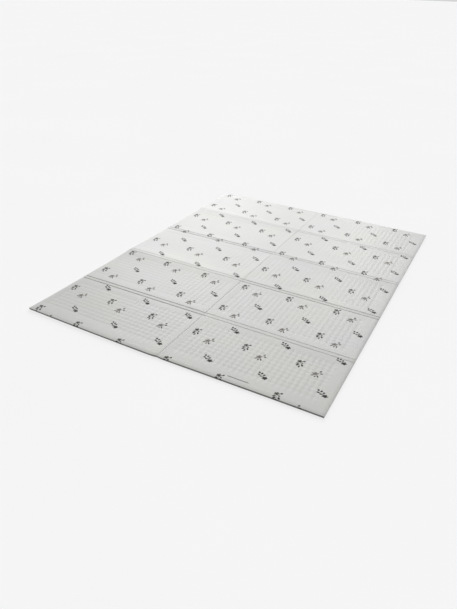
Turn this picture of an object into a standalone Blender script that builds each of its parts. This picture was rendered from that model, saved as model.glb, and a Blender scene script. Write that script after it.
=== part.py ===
"""A foldable foam play mat lying open on the floor: one sheet with hinge grooves pressed into it.

Units are metres, with +Z up. The origin is on the floor, under the middle of the mat. X runs across
its two columns of panels, and Y along its five rows, from the near edge to the far one.
"""

import math

import bmesh
import bpy
from mathutils import Vector

# The sheet and its panels.
WIDTH = 1.50
LENGTH = 2.00
THICKNESS = 0.010
ROWS = 5
RIM_RADIUS = 0.0025
RIM_SEGMENTS = 2

# Hinge grooves: a pair of lines between two rows, so that two layers fit in the fold, and one line
# between the columns.
HINGE_SPREAD = 0.024
HINGE_GROOVE_WIDTH = 0.007
COLUMN_GROOVE_WIDTH = 0.006
GROOVE_FLOOR_SHARE = 0.34
COLUMN_GROOVE_DEPTH = 0.0010
UNDERSIDE_DEPTH = 0.0010
# A hinge that was last bent down keeps a deeper groove on top than one that was bent up, and the near
# hinges are pressed in more than the far ones.
# (groove's depth in the left column, and in the right one), from the near hinge to the far one
HINGE_DEPTHS = [
    (0.0028, 0.0014),
    (0.0012, 0.0019),
    (0.0018, 0.0012),
    (0.0007, 0.0010),
]

# What the folds leave behind: every other fold line stands a little off the floor, and the two
# columns do so in turn, because the mat is folded in half before it is folded up. Each line stands
# highest at the mat's side and sinks towards the middle.
# (how high the line stands at the left side, and at the right side), from the near edge to the far one
FOLD_LIFTS = [
    (0.0030, 0.0000),
    (0.0000, 0.0012),
    (0.0050, 0.0000),
    (0.0000, 0.0028),
    (0.0034, 0.0000),
    (0.0000, 0.0018),
]
LIFT_AT_MIDDLE = 0.35
FOLD_REACH_SHARE = 0.47
FOLD_STEPS = 4
CHANGE_WIDTH = 0.060
CHANGE_STEPS = 8
SPAN_STEPS = 6

# The near edge bows out a little in its own plane, more on the left, and is drawn in at the column
# groove.
NEAR_BOW = 0.009
NEAR_BOW_RIGHT_SHARE = 0.80
NEAR_BOW_LEFT_POWER = 2.0
NEAR_BOW_RIGHT_POWER = 1.5
NOTCH_SHARE = 0.40
NOTCH_REACH = 0.030

FILM_COLOUR = (0.78, 0.78, 0.76, 1.0)
FILM_ROUGHNESS = 0.42
SMOOTH_UP_TO = math.radians(50.0)

# All panels are equally long between their hinge bands. The bow moves the outline's middle, so
# everything shifts by half of it.
PANEL_LENGTH = (LENGTH - (ROWS - 1) * HINGE_SPREAD) / ROWS
NEAR_EDGE = NEAR_BOW / 2 - LENGTH / 2
FAR_EDGE = NEAR_EDGE + LENGTH
FIRST_HINGE = NEAR_EDGE + PANEL_LENGTH + HINGE_SPREAD / 2
HINGE_LINES = [FIRST_HINGE + row * (PANEL_LENGTH + HINGE_SPREAD) for row in range(ROWS - 1)]
FOLD_LINES = [NEAR_EDGE, *HINGE_LINES, FAR_EDGE]
FOLD_REACH = FOLD_REACH_SHARE * PANEL_LENGTH


def clear_scene():
    for obj in list(bpy.data.objects):
        bpy.data.objects.remove(obj, do_unlink=True)


def eased(value):
    """0 below 0, 1 above 1, and an S-curve between them."""
    value = min(max(value, 0.0), 1.0)
    return value * value * (3.0 - 2.0 * value)


def groove_share(distance, width):
    """The share of a groove's depth at this distance from its middle: a flat floor with sloped sides."""
    floor = GROOVE_FLOOR_SHARE * width / 2
    slope = width / 2 - floor
    return 1.0 - min(max((abs(distance) - floor) / slope, 0.0), 1.0)


def side_change(x):
    """0 on the left column, 1 on the right one, and a smooth change across the column groove."""
    return eased(0.5 + x / CHANGE_WIDTH)


def lift(x, y):
    """The height of the sheet's underside over the floor, grooves left out."""
    height = 0.0
    to_side = LIFT_AT_MIDDLE + (1.0 - LIFT_AT_MIDDLE) * abs(x) / (WIDTH / 2)
    for line, (left, right) in zip(FOLD_LINES, FOLD_LIFTS):
        past_hinge = max(abs(y - line) - HINGE_SPREAD / 2, 0.0)
        fade = max(1.0 - past_hinge / FOLD_REACH, 0.0) ** 2
        height += (left + (right - left) * side_change(x)) * to_side * fade
    return height


def near_bow(x):
    """How far the near edge stands out at x."""
    to_side = min(abs(x) / (WIDTH / 2), 1.0)
    left = 1.0 - to_side**NEAR_BOW_LEFT_POWER
    right = NEAR_BOW_RIGHT_SHARE * (1.0 - to_side) ** NEAR_BOW_RIGHT_POWER
    notch = 1.0 - NOTCH_SHARE * (1.0 - eased(abs(x) / NOTCH_REACH))
    return NEAR_BOW * notch * (left + (right - left) * side_change(x))


def hinge_share(y):
    """(share of the groove's depth at y, number of the hinge that the groove belongs to)."""
    best = (0.0, 0)
    for hinge, line in enumerate(HINGE_LINES):
        from_groove = abs(y - line) - HINGE_SPREAD / 2
        best = max(best, (groove_share(from_groove, HINGE_GROOVE_WIDTH), hinge))
    return best


def groove_depths(x, y):
    """How deep the top and the underside are pressed in here."""
    share, hinge = hinge_share(y)
    left, right = HINGE_DEPTHS[hinge]
    hinge_depth = left + (right - left) * side_change(x)
    column_share = groove_share(x, COLUMN_GROOVE_WIDTH)
    top = max(share * hinge_depth, column_share * COLUMN_GROOVE_DEPTH)
    return top, UNDERSIDE_DEPTH * max(share, column_share)


def groove_cuts(middle, width):
    """The four lines where a groove's cross-section turns."""
    floor = GROOVE_FLOOR_SHARE * width / 2
    return [middle + offset for offset in (-width / 2, -floor, floor, width / 2)]


def column_cuts():
    """The X places where the sheet's surface turns."""
    cuts = groove_cuts(0.0, COLUMN_GROOVE_WIDTH)
    for step in range(CHANGE_STEPS + 1):
        place = CHANGE_WIDTH * (step / CHANGE_STEPS - 0.5)
        if abs(place) > COLUMN_GROOVE_WIDTH / 2:
            cuts.append(place)
    for step in range(1, SPAN_STEPS):
        place = WIDTH / 2 * step / SPAN_STEPS
        cuts += [-place, place]
    return cuts


def row_cuts():
    """The Y places where the sheet's surface turns."""
    cuts = []
    for line in HINGE_LINES:
        for side in (-1, 1):
            cuts += groove_cuts(line + side * HINGE_SPREAD / 2, HINGE_GROOVE_WIDTH)
    for line in FOLD_LINES:
        for step in range(1, FOLD_STEPS + 1):
            place = HINGE_SPREAD / 2 + FOLD_REACH * step / FOLD_STEPS
            cuts += [line - place, line + place]
    return [cut for cut in cuts if NEAR_EDGE < cut < FAR_EDGE]


def cut_across(mesh, axis, places):
    """Cuts the mesh along planes square to this axis, so that its faces can bend there."""
    for place in places:
        everything = mesh.verts[:] + mesh.edges[:] + mesh.faces[:]
        point = Vector((0.0, 0.0, 0.0))
        point[axis] = place
        normal = Vector((0.0, 0.0, 0.0))
        normal[axis] = 1.0
        bmesh.ops.bisect_plane(mesh, geom=everything, dist=1e-6, plane_co=point, plane_no=normal)


def film_material():
    material = bpy.data.materials.new("film")
    material.use_nodes = True
    shader = material.node_tree.nodes["Principled BSDF"]
    shader.inputs["Base Color"].default_value = FILM_COLOUR
    shader.inputs["Roughness"].default_value = FILM_ROUGHNESS
    shader.inputs["Metallic"].default_value = 0.0
    return material


def make_mat(collection):
    """A block with a rounded rim, cut where it bends, and then pressed and lifted point by point."""
    mesh = bmesh.new()
    bmesh.ops.create_cube(mesh, size=1.0)
    bmesh.ops.scale(mesh, vec=(WIDTH, LENGTH, THICKNESS), verts=mesh.verts)
    middle = (NEAR_EDGE + FAR_EDGE) / 2
    bmesh.ops.translate(mesh, vec=(0.0, middle, THICKNESS / 2), verts=mesh.verts)
    bmesh.ops.bevel(
        mesh,
        geom=mesh.edges[:],
        offset=RIM_RADIUS,
        segments=RIM_SEGMENTS,
        profile=0.5,
        affect="EDGES",
    )
    cut_across(mesh, 0, column_cuts())
    cut_across(mesh, 1, row_cuts())
    for vert in mesh.verts:
        x, y, z = vert.co
        top_depth, under_depth = groove_depths(x, y)
        low = lift(x, y) + under_depth
        high = lift(x, y) + THICKNESS - top_depth
        vert.co.z = low + (high - low) * z / THICKNESS
        before_hinge = max((FIRST_HINGE - y) / (FIRST_HINGE - NEAR_EDGE), 0.0)
        vert.co.y = y - near_bow(x) * before_hinge
    data = bpy.data.meshes.new("mat")
    mesh.to_mesh(data)
    mesh.free()
    data.shade_smooth()
    data.set_sharp_from_angle(angle=SMOOTH_UP_TO)
    data.materials.append(film_material())
    mat = bpy.data.objects.new("mat", data)
    collection.objects.link(mat)
    return mat


def main():
    clear_scene()
    collection = bpy.data.collections.new("play_mat")
    bpy.context.scene.collection.children.link(collection)
    make_mat(collection)


main()
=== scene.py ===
import math

import bmesh
import bpy
from mathutils import Matrix, Vector, noise


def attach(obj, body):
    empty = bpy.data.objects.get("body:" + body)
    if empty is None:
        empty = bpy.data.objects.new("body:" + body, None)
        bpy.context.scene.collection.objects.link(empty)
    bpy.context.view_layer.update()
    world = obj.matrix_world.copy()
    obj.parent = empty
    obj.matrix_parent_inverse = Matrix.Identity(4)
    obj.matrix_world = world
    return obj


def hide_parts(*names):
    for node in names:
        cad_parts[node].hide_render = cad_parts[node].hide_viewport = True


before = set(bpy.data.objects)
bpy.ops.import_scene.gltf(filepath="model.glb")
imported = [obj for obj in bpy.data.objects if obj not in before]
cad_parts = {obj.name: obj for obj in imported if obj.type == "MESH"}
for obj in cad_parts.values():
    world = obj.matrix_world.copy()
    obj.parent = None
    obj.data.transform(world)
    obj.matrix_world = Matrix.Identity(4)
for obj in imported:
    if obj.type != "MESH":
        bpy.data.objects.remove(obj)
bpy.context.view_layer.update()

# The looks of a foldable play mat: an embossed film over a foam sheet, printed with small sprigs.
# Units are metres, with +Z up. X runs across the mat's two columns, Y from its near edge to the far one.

# The sheet and its panels, as the frame has them.
WIDTH = 1.50
LENGTH = 2.00
THICKNESS = 0.010
ROWS = 5
RIM_RADIUS = 0.0025
RIM_SEGMENTS = 3
NEAR_BOW = 0.009
NEAR_BOW_RIGHT_SHARE = 0.80
NEAR_BOW_LEFT_POWER = 2.0
NEAR_BOW_RIGHT_POWER = 1.5
NOTCH_SHARE = 0.40
NOTCH_REACH = 0.030
HINGE_SPREAD = 0.024
HINGE_GROOVE_WIDTH = 0.007
COLUMN_GROOVE_WIDTH = 0.006
GROOVE_FLOOR_SHARE = 0.34
# Lines across a groove's rounded side, as shares of its half width, and one just outside it.
GROOVE_SIDE_SHARES = (GROOVE_FLOOR_SHARE, 0.56, 0.78, 1.0, 1.25)
COLUMN_GROOVE_DEPTH = 0.0010
UNDERSIDE_DEPTH = 0.0010
# (depth of the hinge's grooves in the left column, and in the right one), from the near hinge on
HINGE_DEPTHS = [
    (0.0028, 0.0014),
    (0.0012, 0.0019),
    (0.0018, 0.0012),
    (0.0007, 0.0010),
]
# (how high the fold line stands at the left side, and at the right side), from the near edge on
FOLD_LIFTS = [
    (0.0030, 0.0000),
    (0.0000, 0.0012),
    (0.0050, 0.0000),
    (0.0000, 0.0028),
    (0.0034, 0.0000),
    (0.0000, 0.0018),
]
LIFT_AT_MIDDLE = 0.35
FOLD_REACH_SHARE = 0.47
CHANGE_WIDTH = 0.060
SMOOTH_UP_TO = math.radians(60.0)

PANEL_LENGTH = (LENGTH - (ROWS - 1) * HINGE_SPREAD) / ROWS
NEAR_EDGE = NEAR_BOW / 2 - LENGTH / 2
FAR_EDGE = NEAR_EDGE + LENGTH
FIRST_HINGE = NEAR_EDGE + PANEL_LENGTH + HINGE_SPREAD / 2
HINGE_LINES = [FIRST_HINGE + row * (PANEL_LENGTH + HINGE_SPREAD) for row in range(ROWS - 1)]
FOLD_LINES = [NEAR_EDGE, *HINGE_LINES, FAR_EDGE]
FOLD_REACH = FOLD_REACH_SHARE * PANEL_LENGTH

# The grooves, and a little the band between the two of a hinge, are darkened with painted shade.
CREASE_SHADE_SHARE = 0.42
BAND_SHADE_SHARE = 0.20
COLUMN_SHADE_SHARE = 0.30
# (share of that painted shade in the left column, and in the right one), from the near hinge on
HINGE_SHADE_SHARES = [(1.0, 0.6), (0.2, 0.9), (0.3, 0.3), (0.0, 0.1)]

# The emboss: square pads in a field on each panel, with a smooth margin round it.
PAD_PITCH = 0.0263
LEFT_FIELD_PADS = 27
RIGHT_FIELD_PADS = 26
FIELD_FROM_CREASE = 0.020
END_ROW_PADS = 11
INNER_ROW_PADS = 12
FIELD_FROM_HINGE = 0.034
# Valleys part the pads. Each pad rises from them in these steps, and the emboss fades out over the
# outermost pads of a field.
# (share of the way across a pad, share of the rise)
PAD_PROFILE = [(0.0, 0.0), (0.20, 0.62), (0.50, 1.0), (0.80, 0.62), (1.0, 0.0)]
LONG_VALLEY_DEPTH = 0.0006
CROSS_VALLEY_DEPTH = 0.0004
FADE_PADS = 0.6
# Outside the fields no strip across the mat is wider than this share of a pad.
MARGIN_STRIP_SHARE = 0.6

# How near a place has to be to count as the same one: in metres, and in pads.
SAME_PLACE = 1e-6
SAME_HEIGHT = 1e-5
SAME_PAD_LINE = 0.001
FACING_UP = 0.9

# The sheet isn't quite even, because the foam under the film has settled.
SETTLING = 0.00030
SETTLING_SIZE = 0.24

# The print: three sprigs that repeat over the whole film. Places are from the film's near left corner.
REPEAT_ACROSS = 0.251
REPEAT_ALONG = 0.245
# The shapes' edges wander by up to this many millimetres.
PRINT_WOBBLE = 1.1
PRINT_WOBBLE_SCALE = 130.0

RULE_START = 1.074
RULE_END = 1.170
RULE_FROM_EDGE = 0.033
RULE_WIDTH = 0.0040

# The film's finish, its fine grain, and its slow change of colour.
FILM_SMOOTH = 0.26
FILM_ROUGH = 0.34
FILM_GLOSS = 0.42
INK_ROUGHER = 0.30
SLOW_SCALE = 3.0
MOTTLE_SCALE = 160.0
MOTTLE_SHARE = 0.05
GRAIN_SCALE = 520.0
GRAIN_STRENGTH = 0.35
GRAIN_HEIGHT = 0.00012
# The print is on the top only, and stops on the rim between these shares of the thickness.
PRINT_STARTS = (0.20, 0.30)
# Painted shade makes the near edge's face nearly black, from this far round the rim.
NEAR_FACE_SHADE_FROM = -0.0012
NEAR_FACE_SHADE_SHARE = 0.80

# The camera, as the photograph was taken.
CAMERA_PLACE = (1.100, -2.4845, 1.360)
CAMERA_TURN = math.radians(-27.27)
CAMERA_TILT = math.radians(30.70)
CAMERA_ROLL = math.radians(2.09)
CAMERA_LENS = 31.29
CAMERA_SENSOR = 36.0

# The studio: a wide floor that gives off a little light, a sky that is darker overhead than at the
# horizon, and soft lights far away.
FLOOR_REACH = 300.0
FLOOR_GLOW = 0.50
FLOOR_ROUGHNESS = 0.9
HORIZON_LIGHT = 0.65
OVERHEAD_LIGHT = 0.54
SKY_CHANGE = (0.02, 0.60)
PANEL_DISTANCE = 4.0
# (name, direction from +Y towards +X, angle up, spread, strength, whether it shadows and reflects)
PANELS = [
    ("panel_low", -38.0, 16.0, 30.0, 0.24, True),
    ("panel_high", -25.0, 26.0, 30.0, 0.49, True),
    ("panel_back", 5.0, 20.0, 42.0, 0.40, True),
    ("panel_side", -88.0, 18.0, 24.0, 2.20, False),
]


def linear(red, green, blue):
    """A colour given in screen levels from 0 to 255, as the shader takes it."""
    levels = [(level / 255.0) ** 2.2 for level in (red, green, blue)]
    return (*levels, 1.0)


INKS = {
    "black": linear(20, 20, 19),
    "charcoal": linear(60, 59, 56),
    "umber": linear(94, 91, 87),
    "taupe": linear(132, 128, 123),
}
FILM_COOL = linear(193, 194, 193)
FILM_WARM = linear(196, 196, 191)
MOTTLE = linear(165, 165, 159)
# Painted shade in the grooves is mixed towards this grey.
CREASE_SHADE_COLOUR = linear(120, 120, 114)
# Painted shade on the near edge's face.
NEAR_FACE_SHADE = linear(44, 44, 41)
FLOOR_COLOURS = (linear(178, 178, 178), linear(180, 180, 180))

# Each sprig's shapes. Places and sizes are millimetres from the sprig's middle, angles are degrees
# from the X axis.
# (form, across, along, length, width, angle, ink)
UPRIGHT_SPRIG = [
    ("oval", 0.0, -6.0, 36.0, 1.4, 98.0, "umber"),
    ("oval", 3.0, 13.0, 18.0, 1.2, 38.0, "umber"),
    ("leaf", -11.0, -4.0, 17.0, 9.0, 28.0, "charcoal"),
    ("leaf", -8.0, -15.0, 18.0, 9.0, 56.0, "black"),
    ("leaf", 2.0, -24.0, 17.0, 8.0, 92.0, "charcoal"),
    ("leaf", 11.0, -11.0, 18.0, 9.0, 124.0, "black"),
    ("leaf", 7.0, 3.0, 13.0, 7.0, 150.0, "charcoal"),
    ("flower", -7.0, 13.0, 25.0, 23.0, 12.0, "umber"),
    ("oval", -7.0, 12.0, 9.0, 8.0, 0.0, "black"),
    ("oval", 10.0, 20.0, 12.0, 9.0, 50.0, "charcoal"),
]
OPEN_SPRIG = [
    ("oval", 7.0, 12.0, 30.0, 1.4, 52.0, "umber"),
    ("leaf", -16.0, -11.0, 17.0, 7.5, 38.0, "umber"),
    ("leaf", -4.0, -16.0, 16.0, 7.0, 76.0, "umber"),
    ("leaf", 7.0, -13.0, 16.0, 7.0, 122.0, "charcoal"),
    ("flower", -7.0, 3.0, 31.0, 27.0, 30.0, "taupe"),
    ("oval", -7.0, 2.0, 10.0, 9.0, 0.0, "umber"),
    ("oval", 16.0, 12.0, 12.0, 8.0, 15.0, "charcoal"),
    ("oval", 8.0, 25.0, 13.0, 8.0, 65.0, "umber"),
]
LEANING_SPRIG = [
    ("oval", 0.0, 0.0, 28.0, 1.0, 140.0, "umber"),
    ("oval", 4.0, 7.0, 12.0, 9.0, 60.0, "black"),
    ("oval", -8.0, 14.0, 12.5, 9.0, 70.0, "black"),
    ("oval", -21.0, 17.0, 12.0, 9.0, 120.0, "black"),
    ("oval", -6.0, -4.0, 13.0, 8.0, 176.0, "charcoal"),
    ("oval", -18.0, 3.0, 13.0, 9.0, 172.0, "black"),
    ("flower", 13.0, -10.0, 29.0, 24.0, 0.0, "umber"),
    ("oval", 14.0, -11.0, 17.0, 14.0, 0.0, "black"),
]
# (sprig, where its first repeat stands across the film, and along it)
SPRIGS = [
    (UPRIGHT_SPRIG, 0.0455, 0.2544),
    (OPEN_SPRIG, 0.1330, 0.2120),
    (LEANING_SPRIG, 0.1945, 0.1010),
]
# The print's rows bow towards the near edge in the middle, and straighten towards the far one.
PRINT_BOW = 0.0587
PRINT_BOW_MIDDLE = 0.0087
PRINT_BOW_REACH = 1.90
PETALS = 5
PETAL_DEPTH = 0.16
PRINT_EDGE = 0.10


def eased(value):
    """0 below 0, 1 above 1, and an S-curve between them."""
    value = min(max(value, 0.0), 1.0)
    return value * value * (3.0 - 2.0 * value)


def groove_share(distance, width):
    """The share of a groove's depth at this distance from its middle: a flat floor, rounded sides."""
    floor = GROOVE_FLOOR_SHARE * width / 2
    slope = width / 2 - floor
    return eased(1.0 - (abs(distance) - floor) / slope)


def side_change(x):
    """0 on the left column, 1 on the right one, and a smooth change across the column groove."""
    return eased(0.5 + x / CHANGE_WIDTH)


def lift(x, y):
    """The height of the sheet's underside over the floor, grooves left out."""
    height = 0.0
    to_side = LIFT_AT_MIDDLE + (1.0 - LIFT_AT_MIDDLE) * abs(x) / (WIDTH / 2)
    for line, (left, right) in zip(FOLD_LINES, FOLD_LIFTS):
        past_hinge = max(abs(y - line) - HINGE_SPREAD / 2, 0.0)
        fade = max(1.0 - past_hinge / FOLD_REACH, 0.0) ** 2
        height += (left + (right - left) * side_change(x)) * to_side * fade
    return height


def near_bow(x):
    """How far the near edge stands out at x."""
    to_side = min(abs(x) / (WIDTH / 2), 1.0)
    left = 1.0 - to_side**NEAR_BOW_LEFT_POWER
    right = NEAR_BOW_RIGHT_SHARE * (1.0 - to_side) ** NEAR_BOW_RIGHT_POWER
    notch = 1.0 - NOTCH_SHARE * (1.0 - eased(abs(x) / NOTCH_REACH))
    return NEAR_BOW * notch * (left + (right - left) * side_change(x))


def hinge_share(y):
    """(share of the groove's depth at y, number of the hinge that the groove belongs to)."""
    best = (0.0, 0)
    for hinge, line in enumerate(HINGE_LINES):
        from_groove = abs(y - line) - HINGE_SPREAD / 2
        best = max(best, (groove_share(from_groove, HINGE_GROOVE_WIDTH), hinge))
    return best


def groove_depths(x, y):
    """How deep the top and the underside are pressed in here."""
    share, hinge = hinge_share(y)
    left, right = HINGE_DEPTHS[hinge]
    hinge_depth = left + (right - left) * side_change(x)
    column_share = groove_share(x, COLUMN_GROOVE_WIDTH)
    top = max(share * hinge_depth, column_share * COLUMN_GROOVE_DEPTH)
    return top, UNDERSIDE_DEPTH * max(share, column_share)


def painted_crease_shade(x, y):
    """How much painted shade darkens a place in the grooves and the hinges' bands, from 0 to 1."""
    share, _ = hinge_share(y)
    painted_shade = COLUMN_SHADE_SHARE * groove_share(x, COLUMN_GROOVE_WIDTH)
    for hinge, line in enumerate(HINGE_LINES):
        if abs(y - line) < HINGE_SPREAD:
            left, right = HINGE_SHADE_SHARES[hinge]
            here = left + (right - left) * side_change(x)
            in_band = float(abs(y - line) < HINGE_SPREAD / 2)
            painted_shade = max(painted_shade, here * max(share, BAND_SHADE_SHARE * in_band))
    return painted_shade


def settled(x, y):
    """A slow unevenness of the top."""
    place = Vector((x, y, 0.0)) / SETTLING_SIZE
    return SETTLING * noise.noise(place)


def groove_cuts(middle, width):
    """Lines across a groove, close enough for its rounded sides."""
    shares = [-share for share in GROOVE_SIDE_SHARES] + [0.0] + list(GROOVE_SIDE_SHARES)
    return [middle + share * width / 2 for share in shares]


def column_fields():
    """(first X line, number of pads) of the left and right columns' fields."""
    left_start = -FIELD_FROM_CREASE - LEFT_FIELD_PADS * PAD_PITCH
    return [(left_start, LEFT_FIELD_PADS), (FIELD_FROM_CREASE, RIGHT_FIELD_PADS)]


def row_fields():
    """(first Y line, number of pads) of each row's field, from the near row to the far one."""
    fields = []
    for row in range(ROWS):
        near = NEAR_EDGE + row * (PANEL_LENGTH + HINGE_SPREAD)
        pads = END_ROW_PADS if row in (0, ROWS - 1) else INNER_ROW_PADS
        long = pads * PAD_PITCH
        if row == 0:
            start = near + PANEL_LENGTH - FIELD_FROM_HINGE - long
        elif row == ROWS - 1:
            start = near + FIELD_FROM_HINGE
        else:
            start = near + (PANEL_LENGTH - long) / 2
        fields.append((start, pads))
    return fields


def field_cuts(fields):
    return [start + PAD_PITCH * step for start, pads in fields for step in range(pads + 1)]


def margin_cuts(lines, low, high, most):
    """Extra lines, so that no strip between low and high is wider than most."""
    known = sorted([low, high, *lines])
    extra = []
    for before, after in zip(known, known[1:]):
        pieces = math.ceil((after - before) / most)
        extra += [before + (after - before) * step / pieces for step in range(1, pieces)]
    return extra


def cut_across(mesh, axis, places):
    """Cuts the mesh along planes square to this axis, so that its faces can bend there."""
    for place in places:
        everything = mesh.verts[:] + mesh.edges[:] + mesh.faces[:]
        point = Vector((0.0, 0.0, 0.0))
        point[axis] = place
        normal = Vector((0.0, 0.0, 0.0))
        normal[axis] = 1.0
        bmesh.ops.bisect_plane(mesh, geom=everything, dist=SAME_PLACE, plane_co=point, plane_no=normal)


def inside(place, fields):
    return any(start < place < start + pads * PAD_PITCH for start, pads in fields)


def without_pad_parts(cuts, fields):
    """The cuts that don't part a pad: outside the fields all of them, and inside only the pads' edges."""
    pad_edges = field_cuts(fields)
    return [cut for cut in cuts if cut in pad_edges or not inside(cut, fields)]


def pad_profile(place, fields):
    """(share of the pad's rise, share of the emboss's full depth, place moved to the profile's steps)."""
    for start, pads in fields:
        pads_in = (place - start) / PAD_PITCH
        if -SAME_PAD_LINE < pads_in < pads + SAME_PAD_LINE:
            pad = math.floor(pads_in + SAME_PAD_LINE)
            step = round((pads_in - pad) * (len(PAD_PROFILE) - 1))
            share, rise = PAD_PROFILE[step]
            fade = eased(min(pads_in, pads - pads_in) / FADE_PADS)
            return rise, fade, start + (pad + share) * PAD_PITCH
    return 0.0, 0.0, place


def raise_pads(mesh, emboss):
    """Parts each pad into a small grid, and writes how far the film is pressed in to the emboss layer."""
    columns = column_fields()
    rows = row_fields()
    pads = []
    for face in mesh.faces:
        middle = face.calc_center_median()
        on_top = face.normal.z > FACING_UP and middle.z > THICKNESS - SAME_HEIGHT
        if on_top and inside(middle.x, columns) and inside(middle.y, rows):
            pads.append(face)
    edges = {edge for face in pads for edge in face.edges}
    bmesh.ops.subdivide_edges(
        mesh,
        edges=list(edges),
        cuts=len(PAD_PROFILE) - 2,
        use_grid_fill=True,
        use_single_edge=True,
    )
    for vert in mesh.verts:
        if vert.co.z > THICKNESS - SAME_HEIGHT:
            rise_across, fade_across, vert.co.x = pad_profile(vert.co.x, columns)
            rise_along, fade_along, vert.co.y = pad_profile(vert.co.y, rows)
            depth = LONG_VALLEY_DEPTH * (1.0 - rise_across) + CROSS_VALLEY_DEPTH * (1.0 - rise_along)
            vert[emboss] = -depth * fade_across * fade_along


def make_mat():
    """The embossed sheet: a block with a rounded rim, cut where it bends, then pressed and lifted."""
    mesh = bmesh.new()
    bmesh.ops.create_cube(mesh, size=1.0)
    bmesh.ops.scale(mesh, vec=(WIDTH, LENGTH, THICKNESS), verts=mesh.verts)
    middle = (NEAR_EDGE + FAR_EDGE) / 2
    bmesh.ops.translate(mesh, vec=(0.0, middle, THICKNESS / 2), verts=mesh.verts)
    bmesh.ops.bevel(
        mesh,
        geom=mesh.edges[:],
        offset=RIM_RADIUS,
        segments=RIM_SEGMENTS,
        profile=0.5,
        affect="EDGES",
    )
    columns = field_cuts(column_fields()) + groove_cuts(0.0, COLUMN_GROOVE_WIDTH)
    columns += margin_cuts(
        columns,
        -WIDTH / 2 + RIM_RADIUS,
        WIDTH / 2 - RIM_RADIUS,
        PAD_PITCH * MARGIN_STRIP_SHARE,
    )
    rows = field_cuts(row_fields())
    for line in HINGE_LINES:
        for side in (-1, 1):
            rows += groove_cuts(line + side * HINGE_SPREAD / 2, HINGE_GROOVE_WIDTH)
    rows += margin_cuts(rows, NEAR_EDGE + RIM_RADIUS, FAR_EDGE - RIM_RADIUS, PAD_PITCH)
    cut_across(mesh, 0, without_pad_parts(columns, column_fields()))
    cut_across(mesh, 1, without_pad_parts(rows, row_fields()))
    emboss = mesh.verts.layers.float.new("emboss")
    film_place = mesh.verts.layers.float_vector.new("film_place")
    crease_shade = mesh.verts.layers.float.new("crease_shade")
    mesh.normal_update()
    raise_pads(mesh, emboss)
    for vert in mesh.verts:
        x, y, z = vert.co
        around = 0.0
        if y < NEAR_EDGE + RIM_RADIUS / 2:
            around = z - THICKNESS
        vert[film_place] = Vector((x + WIDTH / 2, y - NEAR_EDGE + around, z / THICKNESS))
        top_depth, under_depth = groove_depths(x, y)
        # Painted shade for the grooves goes into this layer.
        vert[crease_shade] = painted_crease_shade(x, y)
        low = lift(x, y) + under_depth
        high = lift(x, y) + THICKNESS - top_depth + vert[emboss] + settled(x, y)
        vert.co.z = low + (high - low) * z / THICKNESS
        before_hinge = max((FIRST_HINGE - y) / (FIRST_HINGE - NEAR_EDGE), 0.0)
        vert.co.y = y - near_bow(x) * before_hinge
    data = bpy.data.meshes.new("mat_film")
    mesh.to_mesh(data)
    mesh.free()
    data.shade_smooth()
    data.set_sharp_from_angle(angle=SMOOTH_UP_TO)
    data.materials.append(film_material())
    mat = bpy.data.objects.new("mat_film", data)
    bpy.context.scene.collection.objects.link(mat)
    return mat


class Nodes:
    """Adds shader nodes one after another and links them, with plain numbers as values."""

    def __init__(self, material):
        self.tree = material.node_tree

    def put(self, target, value):
        if isinstance(value, bpy.types.NodeSocket):
            self.tree.links.new(value, target)
        else:
            target.default_value = value

    def math(self, operation, *values, clamp=False):
        node = self.tree.nodes.new("ShaderNodeMath")
        node.operation = operation
        node.use_clamp = clamp
        for target, value in zip(node.inputs, values):
            self.put(target, value)
        return node.outputs[0]

    def combine(self, x, y, z=0.0):
        node = self.tree.nodes.new("ShaderNodeCombineXYZ")
        for target, value in zip(node.inputs, (x, y, z)):
            self.put(target, value)
        return node.outputs[0]

    def parts(self, vector):
        node = self.tree.nodes.new("ShaderNodeSeparateXYZ")
        self.put(node.inputs[0], vector)
        return node.outputs

    def vector(self, operation, *values):
        node = self.tree.nodes.new("ShaderNodeVectorMath")
        node.operation = operation
        for target, value in zip(node.inputs, values):
            self.put(target, value)
        return node.outputs[1] if operation == "LENGTH" else node.outputs[0]

    def scaled(self, vector, factor):
        node = self.tree.nodes.new("ShaderNodeVectorMath")
        node.operation = "SCALE"
        self.put(node.inputs[0], vector)
        node.inputs["Scale"].default_value = factor
        return node.outputs[0]

    def placed(self, vector, place, angle, size):
        """The vector as seen from a shape of this place, angle and size: 1 is the shape's end."""
        node = self.tree.nodes.new("ShaderNodeMapping")
        node.vector_type = "TEXTURE"
        self.put(node.inputs["Vector"], vector)
        node.inputs["Location"].default_value = place
        node.inputs["Rotation"].default_value = (0.0, 0.0, angle)
        node.inputs["Scale"].default_value = size
        return node.outputs[0]

    def noise(self, vector, scale, detail=2.0, roughness=0.5, colour=False):
        node = self.tree.nodes.new("ShaderNodeTexNoise")
        self.put(node.inputs["Vector"], vector)
        node.inputs["Scale"].default_value = scale
        node.inputs["Detail"].default_value = detail
        node.inputs["Roughness"].default_value = roughness
        return node.outputs["Color" if colour else "Fac"]

    def spread(self, value, low, high, to_low, to_high):
        """The value taken from one range to another, and kept inside it."""
        node = self.tree.nodes.new("ShaderNodeMapRange")
        for target, number in zip(node.inputs, (value, low, high, to_low, to_high)):
            self.put(target, number)
        return node.outputs[0]

    def mix(self, share, first, second):
        node = self.tree.nodes.new("ShaderNodeMix")
        node.data_type = "RGBA"
        colours = [socket for socket in node.inputs if socket.type == "RGBA"]
        self.put(node.inputs[0], share)
        self.put(colours[0], first)
        self.put(colours[1], second)
        return next(socket for socket in node.outputs if socket.type == "RGBA")

    def attribute(self, name):
        node = self.tree.nodes.new("ShaderNodeAttribute")
        node.attribute_name = name
        return node


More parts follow.
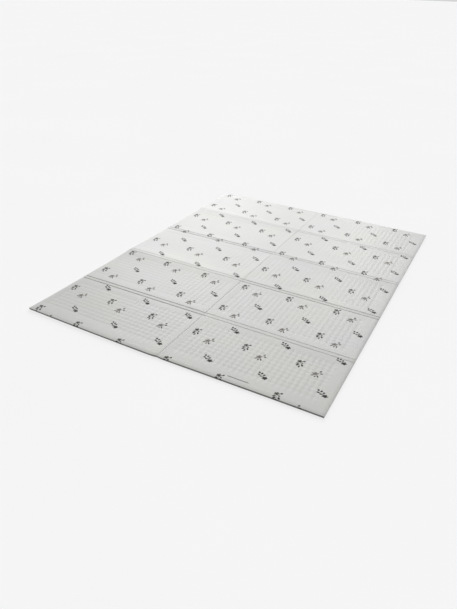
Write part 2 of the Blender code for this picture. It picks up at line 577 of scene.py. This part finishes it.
def shape_mask(nodes, vector, shape):
    """1 inside a printed shape and 0 outside it, for a vector in millimetres."""
    form, across, along, length, width, angle, _ = shape
    size = (length / 2, width / 2, 1.0)
    local = nodes.placed(vector, (across, along, 0.0), math.radians(angle), size)
    if form == "oval":
        depth = nodes.math("SUBTRACT", 1.0, nodes.vector("LENGTH", local))
    elif form == "leaf":
        along_leaf, across_leaf, _ = nodes.parts(local)
        square = nodes.math("MULTIPLY", along_leaf, along_leaf)
        half_width = nodes.math("SUBTRACT", 1.0, square)
        depth = nodes.math("SUBTRACT", half_width, nodes.math("ABSOLUTE", across_leaf))
    else:
        x, y, _ = nodes.parts(local)
        turn = nodes.math("MULTIPLY", nodes.math("ARCTAN2", y, x), float(PETALS))
        wave = nodes.math("COSINE", turn)
        edge = nodes.math("MULTIPLY_ADD", wave, PETAL_DEPTH, 1.0 - PETAL_DEPTH)
        depth = nodes.math("SUBTRACT", edge, nodes.vector("LENGTH", local))
    return nodes.spread(depth, -PRINT_EDGE / 2, PRINT_EDGE / 2, 0.0, 1.0)


def add_print(nodes, colour, place, printed_side):
    """The sprigs and the thin rule over the film's colour. Returns the colour and the inked share."""
    across, along, _ = nodes.parts(place)
    wobble = nodes.noise(place, PRINT_WOBBLE_SCALE, colour=True)
    wobble = nodes.vector("SUBTRACT", wobble, (0.5, 0.5, 0.5))
    wobble = nodes.scaled(wobble, PRINT_WOBBLE * 2)
    from_middle = nodes.math("SUBTRACT", across, WIDTH / 2)
    square = nodes.math("MULTIPLY", from_middle, from_middle)
    bow = nodes.math("MULTIPLY_ADD", square, PRINT_BOW, -PRINT_BOW_MIDDLE)
    near = nodes.math("SUBTRACT", 1.0, nodes.math("DIVIDE", along, PRINT_BOW_REACH))
    printed_along = nodes.math("SUBTRACT", along, nodes.math("MULTIPLY", bow, near))
    inked = 0.0
    for sprig, first_across, first_along in SPRIGS:
        half_across = REPEAT_ACROSS / 2
        half_along = REPEAT_ALONG / 2
        from_across = nodes.math("SUBTRACT", across, first_across)
        from_along = nodes.math("SUBTRACT", printed_along, first_along)
        local_across = nodes.math("WRAP", from_across, half_across, -half_across)
        local_along = nodes.math("WRAP", from_along, half_along, -half_along)
        millimetres_across = nodes.math("MULTIPLY", local_across, 1000.0)
        millimetres_along = nodes.math("MULTIPLY", local_along, 1000.0)
        local = nodes.combine(millimetres_across, millimetres_along)
        local = nodes.vector("ADD", local, wobble)
        for shape in sprig:
            mask = nodes.math("MULTIPLY", shape_mask(nodes, local, shape), printed_side)
            colour = nodes.mix(mask, colour, INKS[shape[-1]])
            inked = nodes.math("MAXIMUM", inked, mask)
    middle = (RULE_START + RULE_END) / 2
    off_across = nodes.math("ABSOLUTE", nodes.math("SUBTRACT", across, middle))
    off_along = nodes.math("ABSOLUTE", nodes.math("SUBTRACT", along, RULE_FROM_EDGE))
    within = nodes.math("LESS_THAN", off_across, (RULE_END - RULE_START) / 2)
    rule = nodes.math("MULTIPLY", within, nodes.math("LESS_THAN", off_along, RULE_WIDTH / 2))
    rule = nodes.math("MULTIPLY", rule, printed_side)
    colour = nodes.mix(rule, colour, INKS["umber"])
    return colour, nodes.math("MAXIMUM", inked, rule)


def film_material():
    """Satin film: off-white with a slow variation, a fine grain, painted shade in the creases and on the
    near face, and the print.
    """
    material = bpy.data.materials.new("mat_film")
    material.use_nodes = True
    nodes = Nodes(material)
    shader = material.node_tree.nodes["Principled BSDF"]
    place = nodes.attribute("film_place").outputs["Vector"]
    crease_shade = nodes.attribute("crease_shade").outputs["Fac"]
    _, along, height = nodes.parts(place)
    top_side = nodes.spread(height, *PRINT_STARTS, 0.0, 1.0)

    slow = nodes.noise(place, SLOW_SCALE, detail=3.0)
    warmth = nodes.spread(slow, 0.30, 0.70, 0.0, 1.0)
    colour = nodes.mix(warmth, FILM_COOL, FILM_WARM)
    fine = nodes.noise(place, MOTTLE_SCALE, detail=3.0)
    mottle = nodes.spread(fine, 0.30, 0.70, 0.0, MOTTLE_SHARE)
    colour = nodes.mix(mottle, colour, MOTTLE)
    colour, inked = add_print(nodes, colour, place, top_side)
    # Painted shade: the grooves and hinge bands are darkened towards a grey.
    crease_shade_mix = nodes.math("MULTIPLY", crease_shade, CREASE_SHADE_SHARE)
    colour = nodes.mix(crease_shade_mix, colour, CREASE_SHADE_COLOUR)
    # Painted shade: the near edge's face is darkened nearly to black.
    painted_near_shade = nodes.spread(along, NEAR_FACE_SHADE_FROM, 0.0, 1.0, 0.0)
    colour = nodes.mix(nodes.math("MULTIPLY", painted_near_shade, NEAR_FACE_SHADE_SHARE), colour, NEAR_FACE_SHADE)
    nodes.put(shader.inputs["Base Color"], colour)

    roughness = nodes.spread(fine, 0.25, 0.75, FILM_SMOOTH, FILM_ROUGH)
    roughness = nodes.math("MULTIPLY_ADD", inked, INK_ROUGHER, roughness)
    nodes.put(shader.inputs["Roughness"], roughness)
    shader.inputs["Specular IOR Level"].default_value = FILM_GLOSS

    grain = nodes.noise(place, GRAIN_SCALE, detail=2.0)
    bump = material.node_tree.nodes.new("ShaderNodeBump")
    bump.inputs["Strength"].default_value = GRAIN_STRENGTH
    bump.inputs["Distance"].default_value = GRAIN_HEIGHT
    nodes.put(bump.inputs["Height"], grain)
    nodes.put(shader.inputs["Normal"], bump.outputs["Normal"])
    return material


def floor_material():
    material = bpy.data.materials.new("studio_floor")
    material.use_nodes = True
    nodes = Nodes(material)
    shader = material.node_tree.nodes["Principled BSDF"]
    place = nodes.tree.nodes.new("ShaderNodeTexCoord").outputs["Object"]
    slow = nodes.spread(nodes.noise(place, 0.8), 0.3, 0.7, 0.0, 1.0)
    colour = nodes.mix(slow, *FLOOR_COLOURS)
    nodes.put(shader.inputs["Base Color"], colour)
    shader.inputs["Emission Color"].default_value = (1.0, 1.0, 1.0, 1.0)
    shader.inputs["Emission Strength"].default_value = FLOOR_GLOW
    shader.inputs["Roughness"].default_value = FLOOR_ROUGHNESS
    shader.inputs["Specular IOR Level"].default_value = 0.0
    return material


def make_floor():
    mesh = bmesh.new()
    bmesh.ops.create_grid(mesh, x_segments=1, y_segments=1, size=FLOOR_REACH)
    data = bpy.data.meshes.new("studio_floor")
    mesh.to_mesh(data)
    mesh.free()
    data.materials.append(floor_material())
    floor = bpy.data.objects.new("studio_floor", data)
    bpy.context.scene.collection.objects.link(floor)


def make_panel(name, around, height, spread, strength, shadows):
    """A wide soft light far away. Around is its direction from +Y towards +X, and height its angle up."""
    light = bpy.data.lights.new(name, "SUN")
    light.angle = math.radians(spread)
    light.energy = strength
    light.use_shadow = shadows
    holder = bpy.data.objects.new(name, light)
    around, height = math.radians(around), math.radians(height)
    level = math.cos(height)
    towards = Vector((math.sin(around) * level, math.cos(around) * level, math.sin(height)))
    holder.rotation_euler = (-towards).to_track_quat("-Z", "Y").to_euler()
    holder.location = towards * PANEL_DISTANCE
    holder.visible_glossy = shadows
    bpy.context.scene.collection.objects.link(holder)


def grey(level):
    return (level, level, level, 1.0)


def make_light():
    world = bpy.data.worlds.new("studio")
    world.use_nodes = True
    nodes = Nodes(world)
    direction = nodes.tree.nodes.new("ShaderNodeTexCoord").outputs["Generated"]
    _, _, upward = nodes.parts(direction)
    high = nodes.spread(upward, *SKY_CHANGE, 0.0, 1.0)
    background = world.node_tree.nodes["Background"]
    level = nodes.mix(high, grey(HORIZON_LIGHT), grey(OVERHEAD_LIGHT))
    nodes.put(background.inputs["Color"], level)
    background.inputs["Strength"].default_value = 1.0
    bpy.context.scene.world = world
    for panel in PANELS:
        make_panel(*panel)
    bpy.context.scene.view_settings.view_transform = "Standard"


def make_camera():
    turn, tilt, roll = CAMERA_TURN, CAMERA_TILT, CAMERA_ROLL
    forward = Vector((math.sin(turn) * math.cos(tilt), math.cos(turn) * math.cos(tilt), -math.sin(tilt)))
    level = Vector((math.cos(turn), -math.sin(turn), 0.0))
    upright = level.cross(forward)
    right = level * math.cos(roll) + upright * math.sin(roll)
    up = upright * math.cos(roll) - level * math.sin(roll)
    data = bpy.data.cameras.new("camera")
    data.sensor_width = CAMERA_SENSOR
    data.lens = CAMERA_LENS
    camera = bpy.data.objects.new("camera", data)
    turned = Matrix((right, up, -forward)).transposed().to_4x4()
    camera.matrix_world = Matrix.Translation(CAMERA_PLACE) @ turned
    bpy.context.scene.collection.objects.link(camera)
    bpy.context.scene.camera = camera


def main():
    make_camera()
    make_light()
    make_floor()
    mat = make_mat()
    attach(mat, "root")
    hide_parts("mat")


main()
